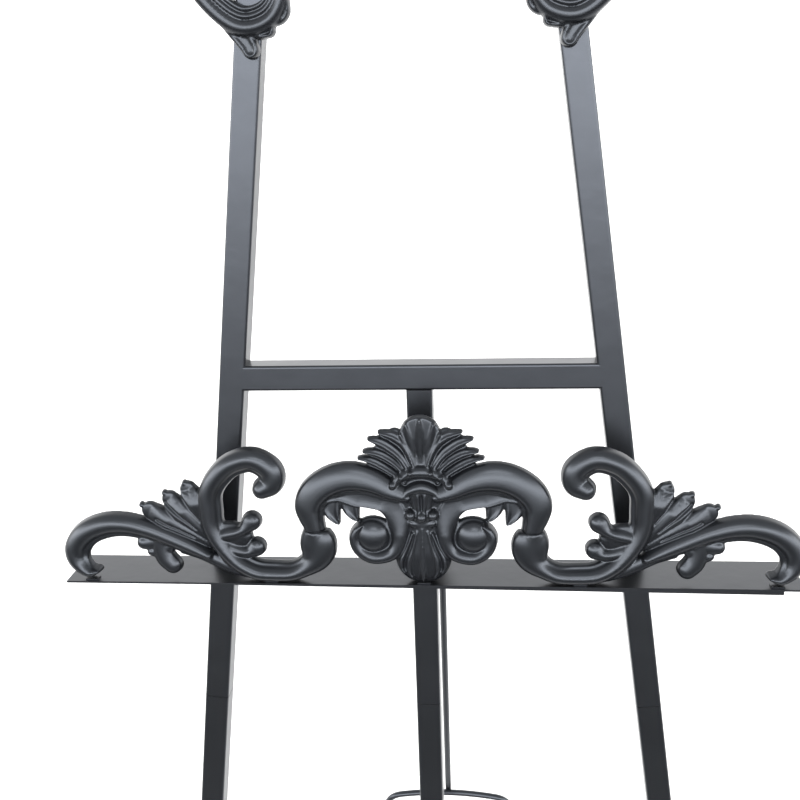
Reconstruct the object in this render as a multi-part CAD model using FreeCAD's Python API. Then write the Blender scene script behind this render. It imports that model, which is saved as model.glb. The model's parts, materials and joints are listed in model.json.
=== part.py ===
import FreeCAD, Part
import math
import os

V = FreeCAD.Vector

# A floor-standing display easel in black painted steel. Millimetres, +Z up, front towards -Y.
# Front frame space: X across, -Y out of the frame's front face (which is Y = 0), Z up along the frame
# from the floor. stand() leans that space back and puts it in the part's own space.

# ---- driving dimensions ----
TUBE = 20.0                 # side of the square tube
TUBE_WALL = 1.2
TUBE_CORNER = 2.0           # outside corner radius of the tube
LEAN = 8.0                  # degrees the front frame leans back
SPREAD = 7.5                # degrees each upright leans towards the centre line
CROSSBAR_H = 880.0          # crossbar's centre, measured up the frame from the floor
CROSSBAR_HALF = 145.0       # centre line to upright's centre line, at the crossbar
TRAY_BELOW = 151.0          # crossbar's centre down to the tray's top face
JOINT_BELOW = 287.0         # crossbar's centre down to the plug-in joints
JOINT_GAP = 0.6
SPIGOT_REACH = 35.0         # length of spigot inside each tube
SPIGOT_WALL = 1.5
SPIGOT_FIT = 0.2            # spigot's side under the tube's bore
SCREW_BELOW = 18.0          # joint down to the screw that locks it
SCREW_R = 2.0
SCREW_HEAD_R = 4.0
SCREW_HEAD = 2.4
SCREW_DEEP = 2.5            # screw's length inside the post
TOP_BAR_H = 1318.0
UPRIGHT_TOP_H = 1352.0
PLUG_CAP = 2.0
PLUG_STUB = 12.0
LOWER_BAR_H = 250.0

TRAY_HALF = 282.0
TRAY_DEPTH = 46.0
TRAY_PLATE = 1.5
RAIL = 10.0                 # side of the square bar under the tray
RAIL_HALF = 270.0
RAIL_SETBACK = 16.5         # tray's front edge to the rail, at the middle
RAIL_SKEW = 0.7             # degrees; the rail's left end is the one further back
TRAY_RIGHT = 3.0            # tray, rail and castings sit this far right of the posts' centre line
BRACKET_PLATE = 3.0
BRACKET_REACH = 15.0
BRACKET_DROP = 20.0
TRAY_BOLT_DROP = 12.0       # tray's top face to the bolts through the posts
BRACKET_HALF = 9.0
BOLT_R = 2.5
BOLT_DOME_R = 6.0           # sphere that the bolt's domed head is cut from
BOLT_DOME = 3.0             # height of the head
BOLT_TAIL = 4.5             # shank from the post's back to its end
BOLT_NUT_R = 4.6
BOLT_NUT = 4.0

CAST_BACK = 36.0            # tray castings: distance of their flat back in front of the frame
CAST_DEEP = 10.0            # scroll thickness
CAST_THIN = 7.0             # leaf thickness
TAB = 10.0                  # length of the welded tabs under the castings
TAB_BACK = 2.0              # casting's back to the tab
TAB_DEEP = 6.0
TAB_TALL = 1.0
TAB_PLACES = (-262, -118, 0, 118, 262)

REAR_ANGLE = 16.0           # degrees between the rear leg and the front frame when open
HINGE_BELOW = 110.0         # crossbar's centre down to the hinge pin
HINGE_BACK = 29.0           # frame's front face back to the hinge pin
HINGE_PIN_R = 3.0
HINGE_CLEARANCE = 0.05      # radial, pin in eye
HINGE_PLATE = 3.0           # plate on the centre post's back; the leg's top end stops against it
HINGE_PLATE_LEFT = -8.0
HINGE_PLATE_RIGHT = 16.0
HINGE_PLATE_HALF = 13.0     # above and below the pin
LUG_LEFT = 4.0
LUG_RIGHT = 9.0
LUG_R = 6.0
HINGE_HEAD_R = 5.5
HINGE_HEAD = 3.5
HINGE_NUT_R = 5.8
HINGE_NUT = 5.0
HINGE_TAIL = 6.5            # bolt's length past the eye
ROD_R = 3.0                 # round rod of the rear leg and its arch
EYE_R = 5.5
EYE_PLAY = 0.3              # sideways, on each side of the eye
TAIL_ABOVE = 11.0           # leg's top end above the pin
CREST_BELOW = 389.0         # pin down the leg to the arch's crest
CREST_BEHIND = 4.5          # leg's rod crosses behind the crest by this much
CREST_PAST = 5.0            # and ends this far below its centre
ARCH_MIDDLE = 6.0           # arch's middle, right of the easel's centre line
ARCH_HALF = 64.0            # arch's middle to the rod's centre line at the shoulders
ARCH_CREST_R = 220.0
ARCH_SHOULDER_R = 20.0
ARCH_SPLAY = 3.0            # degrees each leg of the arch opens downwards

FOOT_WALL = 1.8
FOOT_SOLE = 4.0
FOOT_TALL = 26.0
REAR_FOOT_R = 6.0
REAR_FOOT_TALL = 18.0
LEG_SPARE = 60.0            # legs are drawn this far past the floor and trimmed to it

# ---- where things come out ----
REAR_TILT = REAR_ANGLE - LEAN
lean = math.radians(LEAN)
tilt = math.radians(REAR_TILT)
TRAY_H = CROSSBAR_H - TRAY_BELOW
JOINT_H = CROSSBAR_H - JOINT_BELOW
HINGE_H = CROSSBAR_H - HINGE_BELOW
EYE_LEFT = LUG_RIGHT + EYE_PLAY
EYE_RIGHT = EYE_LEFT + 2 * ROD_R
NUT_LEFT = EYE_RIGHT + EYE_PLAY
hinge_z = HINGE_H * math.cos(lean) - HINGE_BACK * math.sin(lean)
hinge_y = HINGE_H * math.sin(lean) + HINGE_BACK * math.cos(lean)
REAR_REACH = hinge_z / math.cos(tilt)
front_edge_y = -FOOT_WALL / math.cos(lean)
rear_edge_y = hinge_y + REAR_REACH * math.sin(tilt) + REAR_FOOT_R / math.cos(tilt)
BASE_SHIFT = -(front_edge_y + rear_edge_y) / 2.0
BIG = 3000.0


def stand(shape):
    """Front frame space to the part's space."""
    out = shape.copy()
    out.rotate(V(0, 0, 0), V(1, 0, 0), -LEAN)
    out.translate(V(0, BASE_SHIFT, 0))
    return out


def stand_rear(shape):
    """Rear leg space (Z down the leg from the hinge pin is negative) to the part's space."""
    out = shape.copy()
    out.rotate(V(0, 0, 0), V(1, 0, 0), REAR_TILT)
    out.translate(V(0, hinge_y + BASE_SHIFT, hinge_z))
    return out


def below(z):
    return Part.makeBox(BIG, BIG, BIG, V(-BIG / 2, -BIG / 2, z - BIG))


def mirror_x(shape):
    return shape.mirror(V(0, 0, 0), V(1, 0, 0))


def box(x0, x1, y0, y1, z0, z1):
    return Part.makeBox(x1 - x0, y1 - y0, z1 - z0, V(x0, y0, z0))


def rod(start, end, radius):
    run = end - start
    return Part.makeCylinder(radius, run.Length, start, run)


# ---- square tube ----
def square_bar(side, corner, z0, z1):
    """Rounded square bar on the Z axis."""
    bar = box(-side / 2, side / 2, -side / 2, side / 2, z0, z1)
    return bar.makeFillet(corner, [e for e in bar.Edges if abs(e.Length - (z1 - z0)) < 1e-6])


def square_tube(side, z0, z1):
    inner = side - 2 * TUBE_WALL
    hole = square_bar(inner, TUBE_CORNER - TUBE_WALL, z0 - 1, z1 + 1)
    return square_bar(side, TUBE_CORNER, z0, z1).cut(hole)


def half_spacing(height):
    return CROSSBAR_HALF + (CROSSBAR_H - height) * math.tan(math.radians(SPREAD))


def on_upright(shape):
    """A shape built about the Z axis, with Z the height, moved onto the right upright's centre line."""
    out = shape.copy()
    out.translate(V(0, TUBE / 2, -CROSSBAR_H))
    out.rotate(V(0, 0, 0), V(0, 1, 0), -SPREAD)
    out.translate(V(CROSSBAR_HALF, 0, CROSSBAR_H))
    return out


def on_centre(shape):
    out = shape.copy()
    out.translate(V(0, TUBE / 2, 0))
    return out


def upright_envelope():
    return on_upright(square_bar(TUBE, TUBE_CORNER, -LEG_SPARE, UPRIGHT_TOP_H + LEG_SPARE))


def cross_tube(height):
    """A tube across the frame, coped to the uprights' inner faces."""
    half = half_spacing(height)
    tube = square_tube(TUBE, -half, half)
    tube.rotate(V(0, 0, 0), V(0, 1, 0), 90)
    tube.translate(V(0, TUBE / 2, height))
    envelope = upright_envelope()
    coped = tube.cut(envelope).cut(mirror_x(envelope))
    return max(coped.Solids, key=lambda s: s.Volume)


def spigot(lowest, highest):
    side = TUBE - 2 * TUBE_WALL - SPIGOT_FIT
    bore = side / 2 - SPIGOT_WALL
    outer = square_bar(side, TUBE_CORNER - TUBE_WALL, lowest, highest)
    return outer.cut(box(-bore, bore, -bore, bore, lowest - 1, highest + 1))


def bolt_through(x, z, y_head, y_nut):
    """Dome-head bolt along Y with its nut: head in front, nut behind."""
    r = BOLT_DOME_R
    shank = rod(V(x, y_head, z), V(x, y_nut + BOLT_TAIL, z), BOLT_R)
    ball = Part.makeSphere(r, V(x, y_head + r - BOLT_DOME, z))
    head = ball.common(box(x - r, x + r, y_head - r, y_head, z - r, z + r))
    return shank.fuse(head).fuse(hex_prism(x, y_nut, z, BOLT_NUT_R, BOLT_NUT))


def hex_prism(x, y, z, corner_r, length):
    turns = [math.radians(60 * k) for k in range(7)]
    corners = [V(x + corner_r * math.cos(a), y, z + corner_r * math.sin(a)) for a in turns]
    return Part.Face(Part.makePolygon(corners)).extrude(V(0, length, 0))


# ---- cast scrollwork: each stroke is a ribbon along a smooth line, (x, z, width) at each point ----
def smooth(points):
    curve = Part.BSplineCurve()
    curve.interpolate(points)
    return curve.toShape()


def ribbon(stroke, back, depth):
    """A stroke as a prism: its two long edges are smooth curves and its ends are round."""
    count = len(stroke)
    left, right, heading = [], [], []
    for i, (x, z, width) in enumerate(stroke):
        ahead = stroke[min(i + 1, count - 1)]
        behind = stroke[max(i - 1, 0)]
        run = V(ahead[0] - behind[0], 0, ahead[1] - behind[1])
        run.normalize()
        side = V(-run.z, 0, run.x) * (width / 2)
        middle = V(x, -back, z)
        left.append(middle + side)
        right.append(middle - side)
        heading.append(run)
    nose = V(stroke[-1][0], -back, stroke[-1][1]) + heading[-1] * (stroke[-1][2] / 2)
    tail = V(stroke[0][0], -back, stroke[0][1]) - heading[0] * (stroke[0][2] / 2)
    edges = [smooth(left), Part.Arc(left[-1], nose, right[-1]).toShape(),
             smooth(right[::-1]), Part.Arc(right[0], tail, left[0]).toShape()]
    return Part.Face(Part.Wire(edges)).extrude(V(0, -depth, 0))


def disc(x, z, radius, back, depth):
    return Part.makeCylinder(radius, depth, V(x, -back, z), V(0, -1, 0))


def weld(shapes):
    joined = shapes[0]
    for shape in shapes[1:]:
        joined = joined.fuse(shape)
    return joined


def lift(stroke, dx, dz, scale=1.0):
    return [(x * scale + dx, z * scale + dz, width * scale) for x, z, width in stroke]


# Tray castings, right half: x from the centre line, z above the tray's top face.
END_SCROLL = [(258, 6, 6), (266, 9, 12), (273, 18, 17), (272, 29, 21), (262, 39, 22), (248, 44, 22),
              (232, 45, 20), (214, 41, 18), (196, 34, 17), (178, 27, 16), (160, 21, 15)]
MAIN_SCROLL = [(120, 73, 19), (113, 82, 20), (115, 93, 20), (127, 99, 19), (142, 96, 18), (153, 86, 18),
               (160, 74, 18), (162, 60, 18), (161, 46, 17), (155, 32, 17), (144, 18, 16), (130, 9.5, 16),
               (114, 7.6, 15), (99, 9, 17), (87, 17, 23), (83, 29, 28), (83, 40, 21)]
SIDE_LEAVES = [
    [(167, 26, 5), (187, 39, 8), (203, 51, 11), (213, 59, 9)],
    [(164, 30, 5), (179, 45, 9), (190, 58, 12), (197, 68, 9)],
    [(162, 34, 6), (171, 48, 9), (178, 63, 12), (182, 75, 9)],
    [(195, 32, 9), (208, 27, 11), (218, 29, 8)],
    [(196, 31, 13), (198, 20, 15), (196, 11, 12), (189, 8, 7)],
    [(158, 50, 8), (144, 46, 10), (131, 49, 13)],
    [(155, 38, 8), (139, 31, 10), (125, 28, 10)],
]
ARCH = [(84, 40.5, 19), (86, 51, 19), (85, 61, 21), (81, 71, 21), (73, 80, 20), (62, 86, 18),
        (50, 87, 16), (37, 84, 15), (24, 79, 14), (10, 75, 14)]
VOLUTE = [(47, 73, 13), (35, 70, 12), (25, 63, 11), (20, 50, 11), (20, 36, 11), (26, 24, 11),
          (36, 20, 10), (45, 25, 9), (49, 35, 9), (45, 45, 8), (36, 48, 8)]
ARCH_LEAVES = [
    [(68, 76, 17), (66, 61, 14), (63, 50, 5)],
    [(51, 78, 15), (50, 64, 12), (48, 54, 4)],
]
FEATHERS = [
    [(3, 94, 8), (7, 107, 8), (13, 115, 7), (20, 119, 7), (27, 120, 4)],
    [(5, 92, 8), (12, 103, 7), (19, 110, 7), (28, 113, 6), (36, 113, 4)],
    [(8, 88, 7), (16, 97, 6), (24, 103, 6), (33, 105, 6), (41, 104, 4)],
    [(12, 84, 7), (22, 91, 6), (30, 96, 6), (38, 98, 6), (45, 98, 4)],
]
STEM = [(0, 96, 20), (0, 76, 21), (0, 60, 15), (0, 48, 12), (0, 36, 17), (0, 24, 30), (0, 13, 38), (0, 9, 37)]
STEM_TIP = (0, 5.5, 5)      # foot of the bell leaf: x, z, radius
CREST = (0, 117, 16)
HUB = (0, 92, 19)
VOLUTE_EYE = (34, 37, 10)

# Crown castings, right half: z measured up the frame from the crossbar's centre.
CROWN_SCROLL = [(24, 487, 12), (52, 503, 16), (88, 500, 19), (122, 478, 20), (148, 440, 21), (161, 396, 21),
                (162, 350, 20), (153, 306, 19), (137, 275, 18), (113, 261, 18), (94, 268, 17), (87, 284, 14),
                (94, 298, 12), (105, 298, 11)]
CROWN_LEAVES = [
    [(128, 268, 14), (116, 252, 17), (108, 242, 13)],
    [(110, 258, 9), (100, 251, 8), (94, 251, 6)],
    [(98, 266, 10), (88, 262, 10), (84, 266, 8)],
    [(160, 345, 12), (177, 368, 11), (183, 390, 8)],
    [(158, 400, 12), (174, 422, 11), (178, 444, 8)],
    [(146, 440, 12), (158, 464, 11), (158, 484, 8)],
    [(158, 380, 10), (138, 372, 12), (120, 384, 11)],
    [(158, 350, 10), (138, 342, 11), (122, 348, 10)],
]
CROWN_PALMETTE_DZ = 412.0
CROWN_SCALE = 1.15
CROWN_STEM = [(0, 480, 44), (0, 462, 34), (0, 446, 24), (0, 430, 12), (0, 420, 5)]


def tray_casting_side():
    back = CAST_BACK
    strokes = [ribbon(lift(END_SCROLL, 0, TRAY_H), back, CAST_DEEP),
               ribbon(lift(MAIN_SCROLL, 0, TRAY_H), back, CAST_DEEP)]
    strokes += [ribbon(lift(leaf, 0, TRAY_H), back, CAST_THIN) for leaf in SIDE_LEAVES]
    return weld(strokes).cut(box(0, TRAY_HALF, -BIG, 0, 0, TRAY_H + TAB_TALL))


def palmette(dz, scale, back):
    parts = [disc(CREST[0], CREST[1] * scale + dz, CREST[2] * scale, back, CAST_THIN),
             disc(HUB[0], HUB[1] * scale + dz, HUB[2] * scale, back, CAST_DEEP)]
    for feather in FEATHERS:
        blade = ribbon(lift(feather, 0, dz, scale), back, CAST_THIN + 1)
        parts += [blade, mirror_x(blade)]
    return parts


def tray_casting_centre():
    back = CAST_BACK
    parts = palmette(TRAY_H, 1.0, back)
    half = [ribbon(lift(ARCH, 0, TRAY_H), back, CAST_DEEP),
            ribbon(lift(VOLUTE, 0, TRAY_H), back, CAST_DEEP),
            disc(VOLUTE_EYE[0], VOLUTE_EYE[1] + TRAY_H, VOLUTE_EYE[2], back, CAST_DEEP)]
    half += [ribbon(lift(leaf, 0, TRAY_H), back, CAST_THIN) for leaf in ARCH_LEAVES]
    parts += half + [mirror_x(shape) for shape in half]
    parts.append(ribbon(lift(STEM, 0, TRAY_H), back, CAST_DEEP + 2))
    tip_x, tip_z, tip_r = STEM_TIP
    parts.append(disc(tip_x, TRAY_H + tip_z, tip_r, back, CAST_DEEP))
    side = ribbon(lift(MAIN_SCROLL, 0, TRAY_H), back - 1, CAST_DEEP + 2)
    under_tabs = box(-TRAY_HALF, TRAY_HALF, -BIG, 0, 0, TRAY_H + TAB_TALL)
    return weld(parts).cut(side).cut(mirror_x(side)).cut(under_tabs)


def crown_side():
    strokes = [ribbon(lift(CROWN_SCROLL, 0, CROSSBAR_H), 0, CAST_DEEP)]
    strokes += [ribbon(lift(leaf, 0, CROSSBAR_H), 0, CAST_THIN) for leaf in CROWN_LEAVES]
    return weld(strokes)


def crown_centre():
    parts = palmette(CROSSBAR_H + CROWN_PALMETTE_DZ, CROWN_SCALE, 0)
    parts.append(ribbon(lift(CROWN_STEM, 0, CROSSBAR_H), 0, CAST_DEEP))
    centre = weld(parts)
    side = ribbon(lift(CROWN_SCROLL, 0, CROSSBAR_H), -1, CAST_DEEP + 2)
    return centre.cut(side).cut(mirror_x(side))


# ---- rear leg, in its own space: hinge pin on the X axis ----
def arch_rod():
    """Inverted U of round rod with a broad crest, and its right leg's lower and upper end points."""
    splay = math.radians(ARCH_SPLAY)
    inset = ARCH_HALF - ARCH_SHOULDER_R
    reach = ARCH_CREST_R - ARCH_SHOULDER_R
    drop = ARCH_CREST_R - math.sqrt(reach ** 2 - inset ** 2)
    crest = V(0, 0, -CREST_BELOW)
    crest_centre = crest - V(0, 0, ARCH_CREST_R)
    shoulder = crest + V(inset, 0, -drop)
    out = (shoulder - crest_centre).normalize()
    meet = shoulder + out * ARCH_SHOULDER_R
    middle_angle = (math.atan2(out.z, out.x) + splay) / 2
    bend = shoulder + V(math.cos(middle_angle), 0, math.sin(middle_angle)) * ARCH_SHOULDER_R
    hip = shoulder + V(math.cos(splay), 0, math.sin(splay)) * ARCH_SHOULDER_R
    length = hip.z + REAR_REACH - FOOT_SOLE / math.cos(tilt)
    foot = hip + V(math.tan(splay), 0, -1) * length

    def flip(p):
        return V(-p.x, p.y, p.z)

    path = Part.Wire([
        Part.LineSegment(foot, hip).toShape(),
        Part.Arc(hip, bend, meet).toShape(),
        Part.Arc(meet, crest, flip(meet)).toShape(),
        Part.Arc(flip(meet), flip(bend), flip(hip)).toShape(),
        Part.LineSegment(flip(hip), flip(foot)).toShape()])
    ring = Part.Wire(Part.Circle(foot, hip - foot, ROD_R).toShape())
    return path.makePipeShell([ring], True, False), foot, hip


def at_arch(shape):
    out = shape.copy()
    out.translate(V(ARCH_MIDDLE, 0, 0))
    return out


def rear_foot_cap(foot, hip):
    up = (hip - foot).normalize()
    top = foot + up * REAR_FOOT_TALL
    return rod(foot - up * 2 * REAR_FOOT_R, top, REAR_FOOT_R).cut(rod(foot, top + up, ROD_R))


def rear_strut(arch):
    """Rod with an eye for the hinge bolt, from its stop end down behind the arch's crest."""
    pin = V((EYE_LEFT + EYE_RIGHT) / 2, 0, 0)
    down = (V(ARCH_MIDDLE, CREST_BEHIND, -CREST_BELOW) - pin).normalize()
    bar = rod(pin - down * TAIL_ABOVE, pin + down * (CREST_BELOW + CREST_PAST), ROD_R)
    eye = rod(V(EYE_LEFT, 0, 0), V(EYE_RIGHT, 0, 0), EYE_R)
    bore = rod(V(0, 0, 0), V(2 * EYE_RIGHT, 0, 0), HINGE_PIN_R + HINGE_CLEARANCE)
    return bar.fuse(eye).cut(bore).cut(arch)


# ---- hinge, in front frame space ----
def on_pin(x0, x1, radius):
    return rod(V(x0, HINGE_BACK, HINGE_H), V(x1, HINGE_BACK, HINGE_H), radius)


def hinge_bracket():
    """Plate on the centre post's back with one lug for the bolt."""
    low, high = HINGE_H - HINGE_PLATE_HALF, HINGE_H + HINGE_PLATE_HALF
    plate = box(HINGE_PLATE_LEFT, HINGE_PLATE_RIGHT, TUBE, TUBE + HINGE_PLATE, low, high)
    lug = box(LUG_LEFT, LUG_RIGHT, TUBE, HINGE_BACK, HINGE_H - LUG_R, HINGE_H + LUG_R)
    body = plate.fuse(lug).fuse(on_pin(LUG_LEFT, LUG_RIGHT, LUG_R))
    return body.cut(on_pin(LUG_LEFT - 1, LUG_RIGHT + 1, HINGE_PIN_R))


def hinge_bolt():
    shank = on_pin(LUG_LEFT, EYE_RIGHT + HINGE_TAIL, HINGE_PIN_R)
    return shank.fuse(on_pin(LUG_LEFT - HINGE_HEAD, LUG_LEFT, HINGE_HEAD_R))


def hinge_nut():
    nut = hex_prism(0, 0, 0, HINGE_NUT_R, HINGE_NUT)
    nut.rotate(V(0, 0, 0), V(0, 0, 1), -90)
    nut.translate(V(NUT_LEFT, HINGE_BACK, HINGE_H))
    return nut.cut(on_pin(NUT_LEFT - 1, NUT_LEFT + HINGE_NUT + 1, HINGE_PIN_R))


# ---- front frame ----
def foot_cap():
    """Rubber cap on the right leg's foot."""
    outer = on_upright(square_bar(TUBE + 2 * FOOT_WALL, TUBE_CORNER + 1, -LEG_SPARE, FOOT_TALL))
    solid = stand(outer).cut(below(0))
    leg = stand(upright_envelope()).cut(below(FOOT_SOLE))
    return solid.cut(leg)


def tube_plug(on, height):
    """Plastic plug: a thin cap on the tube's end with a stub inside it."""
    inner = TUBE - 2 * TUBE_WALL
    cap = square_bar(TUBE, TUBE_CORNER, height, height + PLUG_CAP)
    stub = square_bar(inner, TUBE_CORNER - TUBE_WALL, height - PLUG_STUB, height)
    return on(cap.fuse(stub))


def tray_bracket(x):
    """Angle under the tray: upright flange on the post's front face, arm out under the plate."""
    under = TRAY_H - TRAY_PLATE
    left, right = x - BRACKET_HALF, x + BRACKET_HALF
    arm = box(left, right, -BRACKET_REACH, 0, under - BRACKET_PLATE, under)
    flange = box(left, right, -BRACKET_PLATE, 0, under - BRACKET_DROP, under)
    return drilled(arm.fuse(flange), x)


def drilled(post, x):
    """A post or bracket with the hole for its tray bolt."""
    z = TRAY_H - TRAY_BOLT_DROP
    return post.cut(rod(V(x, -TUBE, z), V(x, 2 * TUBE, z), BOLT_R))


def joint_screw(x):
    """Short screw in the back of a lower tube that locks its spigot."""
    z = JOINT_H - SCREW_BELOW
    shank = rod(V(x, TUBE - SCREW_DEEP, z), V(x, TUBE, z), SCREW_R)
    return shank.fuse(rod(V(x, TUBE, z), V(x, TUBE + SCREW_HEAD, z), SCREW_HEAD_R))


def screw_hole(x):
    z = JOINT_H - SCREW_BELOW
    return rod(V(x, TUBE / 2, z), V(x, 2 * TUBE, z), SCREW_R)


bolt_x = half_spacing(TRAY_H - TRAY_BOLT_DROP)
screw_x = half_spacing(JOINT_H - SCREW_BELOW)
upper_leg = drilled(on_upright(square_tube(TUBE, JOINT_H + JOINT_GAP / 2, UPRIGHT_TOP_H)), bolt_x)
lower_leg = on_upright(square_tube(TUBE, -LEG_SPARE, JOINT_H - JOINT_GAP / 2)).cut(screw_hole(screw_x))
post_top = CROSSBAR_H - TUBE / 2
centre_upper = drilled(on_centre(square_tube(TUBE, JOINT_H + JOINT_GAP / 2, post_top)), 0)
centre_lower = on_centre(square_tube(TUBE, LOWER_BAR_H + TUBE / 2, JOINT_H - JOINT_GAP / 2))
centre_lower = centre_lower.cut(screw_hole(0))
spigot_bar = spigot(JOINT_H - SPIGOT_REACH, JOINT_H + SPIGOT_REACH)
leg_spigot = on_upright(spigot_bar).cut(screw_hole(screw_x))
centre_spigot = on_centre(spigot_bar).cut(screw_hole(0))

rail_front = TRAY_DEPTH - RAIL_SETBACK
rail_top = TRAY_H - TRAY_PLATE
tray_plate = box(-TRAY_HALF, TRAY_HALF, -TRAY_DEPTH, 0, TRAY_H - TRAY_PLATE, TRAY_H)
tray_rail = box(-RAIL_HALF, RAIL_HALF, -rail_front, -rail_front + RAIL, rail_top - RAIL, rail_top)
tray_rail.rotate(V(0, -rail_front, 0), V(0, 0, 1), -RAIL_SKEW)
bolt_rows = [bolt_through(x, TRAY_H - TRAY_BOLT_DROP, -BRACKET_PLATE, TUBE) for x in (-bolt_x, 0, bolt_x)]
tab_back = -CAST_BACK - TAB_BACK
tabs = [box(x - TAB / 2, x + TAB / 2, tab_back - TAB_DEEP, tab_back, TRAY_H, TRAY_H + TAB_TALL)
        for x in TAB_PLACES]
tray_side = tray_casting_side()
crown_half = crown_side()
arch, arch_foot, arch_hip = arch_rod()
arch = at_arch(arch)
rear_cap = rear_foot_cap(arch_foot, arch_hip)
foot = foot_cap()

tray = {
    "tray_plate": tray_plate,
    "tray_rail": tray_rail,
    "casting_tabs": Part.Compound(tabs),
    "tray_casting_centre": tray_casting_centre(),
    "tray_casting_left": mirror_x(tray_side),
    "tray_casting_right": tray_side,
}
front = {
    "left_upright": mirror_x(upper_leg),
    "right_upright": upper_leg,
    "centre_post": centre_upper,
    "crossbar": cross_tube(CROSSBAR_H),
    "top_bar": cross_tube(TOP_BAR_H),
    "lower_crossbar": cross_tube(LOWER_BAR_H),
    "centre_lower_post": centre_lower,
    "left_spigot": mirror_x(leg_spigot),
    "right_spigot": leg_spigot,
    "centre_spigot": centre_spigot,
    "joint_screws": Part.Compound([joint_screw(x) for x in (-screw_x, 0, screw_x)]),
    "left_top_plug": mirror_x(tube_plug(on_upright, UPRIGHT_TOP_H)),
    "right_top_plug": tube_plug(on_upright, UPRIGHT_TOP_H),
    "left_tray_bracket": tray_bracket(-bolt_x),
    "centre_tray_bracket": tray_bracket(0),
    "right_tray_bracket": tray_bracket(bolt_x),
    "tray_bolts": Part.Compound(bolt_rows),
    "crown_casting_left": mirror_x(crown_half),
    "crown_casting_right": crown_half,
    "crown_palmette": crown_centre(),
    "hinge_bracket": hinge_bracket(),
    "hinge_bolt": hinge_bolt(),
    "hinge_nut": hinge_nut(),
}
nodes = {name: stand(shape) for name, shape in front.items()}
right_leg = stand(lower_leg).cut(below(FOOT_SOLE))
nodes["right_lower_leg"] = right_leg
nodes["left_lower_leg"] = mirror_x(right_leg)
nodes["right_foot_cap"] = foot
nodes["left_foot_cap"] = mirror_x(foot)
nodes["rear_strut"] = stand_rear(rear_strut(arch))
nodes["rear_arch"] = stand_rear(arch).cut(below(FOOT_SOLE))
nodes["right_rear_foot"] = stand_rear(at_arch(rear_cap)).cut(below(0))
nodes["left_rear_foot"] = stand_rear(at_arch(mirror_x(rear_cap))).cut(below(0))
# X = 0 is the middle of the tray, the widest part, so the posts and all they carry move left.
for shape in nodes.values():
    shape.translate(V(-TRAY_RIGHT, 0, 0))
nodes.update({name: stand(shape) for name, shape in tray.items()})

os.makedirs("parts", exist_ok=True)
for name, shape in nodes.items():
    shape.exportStep("parts/" + name + ".step")
    sizes = shape.BoundBox
    print("%-22s solids %d valid %s volume %.0f  x %.1f..%.1f  y %.1f..%.1f  z %.1f..%.1f" % (
        name, len(shape.Solids), shape.isValid(), shape.Volume,
        sizes.XMin, sizes.XMax, sizes.YMin, sizes.YMax, sizes.ZMin, sizes.ZMax))
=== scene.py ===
"""Looks of the display easel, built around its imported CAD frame."""

import json
import math

import bpy
import numpy as np
from mathutils import Matrix, Vector


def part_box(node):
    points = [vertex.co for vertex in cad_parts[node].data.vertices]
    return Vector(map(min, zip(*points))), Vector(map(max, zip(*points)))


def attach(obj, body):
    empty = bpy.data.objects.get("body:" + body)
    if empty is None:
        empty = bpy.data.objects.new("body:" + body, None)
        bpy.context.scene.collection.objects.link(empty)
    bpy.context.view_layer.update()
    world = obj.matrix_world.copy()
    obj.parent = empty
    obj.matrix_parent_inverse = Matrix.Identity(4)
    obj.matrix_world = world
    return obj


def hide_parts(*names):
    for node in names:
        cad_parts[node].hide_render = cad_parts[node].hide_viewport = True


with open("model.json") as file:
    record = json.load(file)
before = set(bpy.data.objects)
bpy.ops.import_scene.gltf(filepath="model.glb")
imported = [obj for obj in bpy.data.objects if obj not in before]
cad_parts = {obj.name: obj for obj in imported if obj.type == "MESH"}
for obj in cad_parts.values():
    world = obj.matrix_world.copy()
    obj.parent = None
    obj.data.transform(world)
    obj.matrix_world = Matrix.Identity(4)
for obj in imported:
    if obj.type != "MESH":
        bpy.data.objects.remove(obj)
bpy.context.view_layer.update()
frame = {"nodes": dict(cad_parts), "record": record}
MM = 0.001

# ---- where the front frame stands: its own directions, and the crossbar's centre on its front face ----
# Lengths on the frame are in millimetres: across and up from that centre, and out towards the viewer.
LEAN = math.radians(8.0)
ACROSS = Vector((1, 0, 0))
UP = Vector((0, math.sin(LEAN), math.cos(LEAN)))
OUT = Vector((0, -math.cos(LEAN), math.sin(LEAN)))
TUBE = 20.0                 # side of the square tube
bar_low, bar_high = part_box("crossbar")
CROSSBAR = (bar_low + bar_high) / 2 + OUT * (TUBE / 2 * MM)
TRAY_TOP = -151.0           # tray's top face, up the frame from the crossbar's centre
TRAY_RIGHT = 3.0            # tray and castings, right of the posts' centre line
CAST_BACK = 36.0            # tray castings' backs in front of the frame's front face


def on_frame(across, up, out):
    """A point given in millimetres across, up and out from the crossbar's centre."""
    return CROSSBAR + (ACROSS * across + UP * up + OUT * out) * MM


# ---- camera: at the photograph's viewing angle ----
CAMERA_AT = (62.6, 220.2, 745.7)
CAMERA_TURN = (0.3086, -0.0985, 0.0052)     # pitch down, yaw, roll against the frame's front face
FOCAL_IN_WIDTHS = 1.2838375                 # focal length over the picture's width
SENSOR_MM = 36.0
CLIP_END = 50.0


def add_camera():
    data = bpy.data.cameras.new("camera")
    data.sensor_width = SENSOR_MM
    data.lens = FOCAL_IN_WIDTHS * data.sensor_width
    data.clip_end = CLIP_END
    camera = bpy.data.objects.new("camera", data)
    bpy.context.scene.collection.objects.link(camera)
    pitch, yaw, roll = CAMERA_TURN
    turn = Matrix.Rotation(roll, 3, "Z") @ Matrix.Rotation(yaw, 3, "Y") @ Matrix.Rotation(pitch, 3, "X")
    basis = Matrix((ACROSS, UP, OUT)).transposed()
    world = (basis @ turn.transposed()).to_4x4()
    world.translation = on_frame(*CAMERA_AT)
    camera.matrix_world = world
    bpy.context.scene.camera = camera


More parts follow.
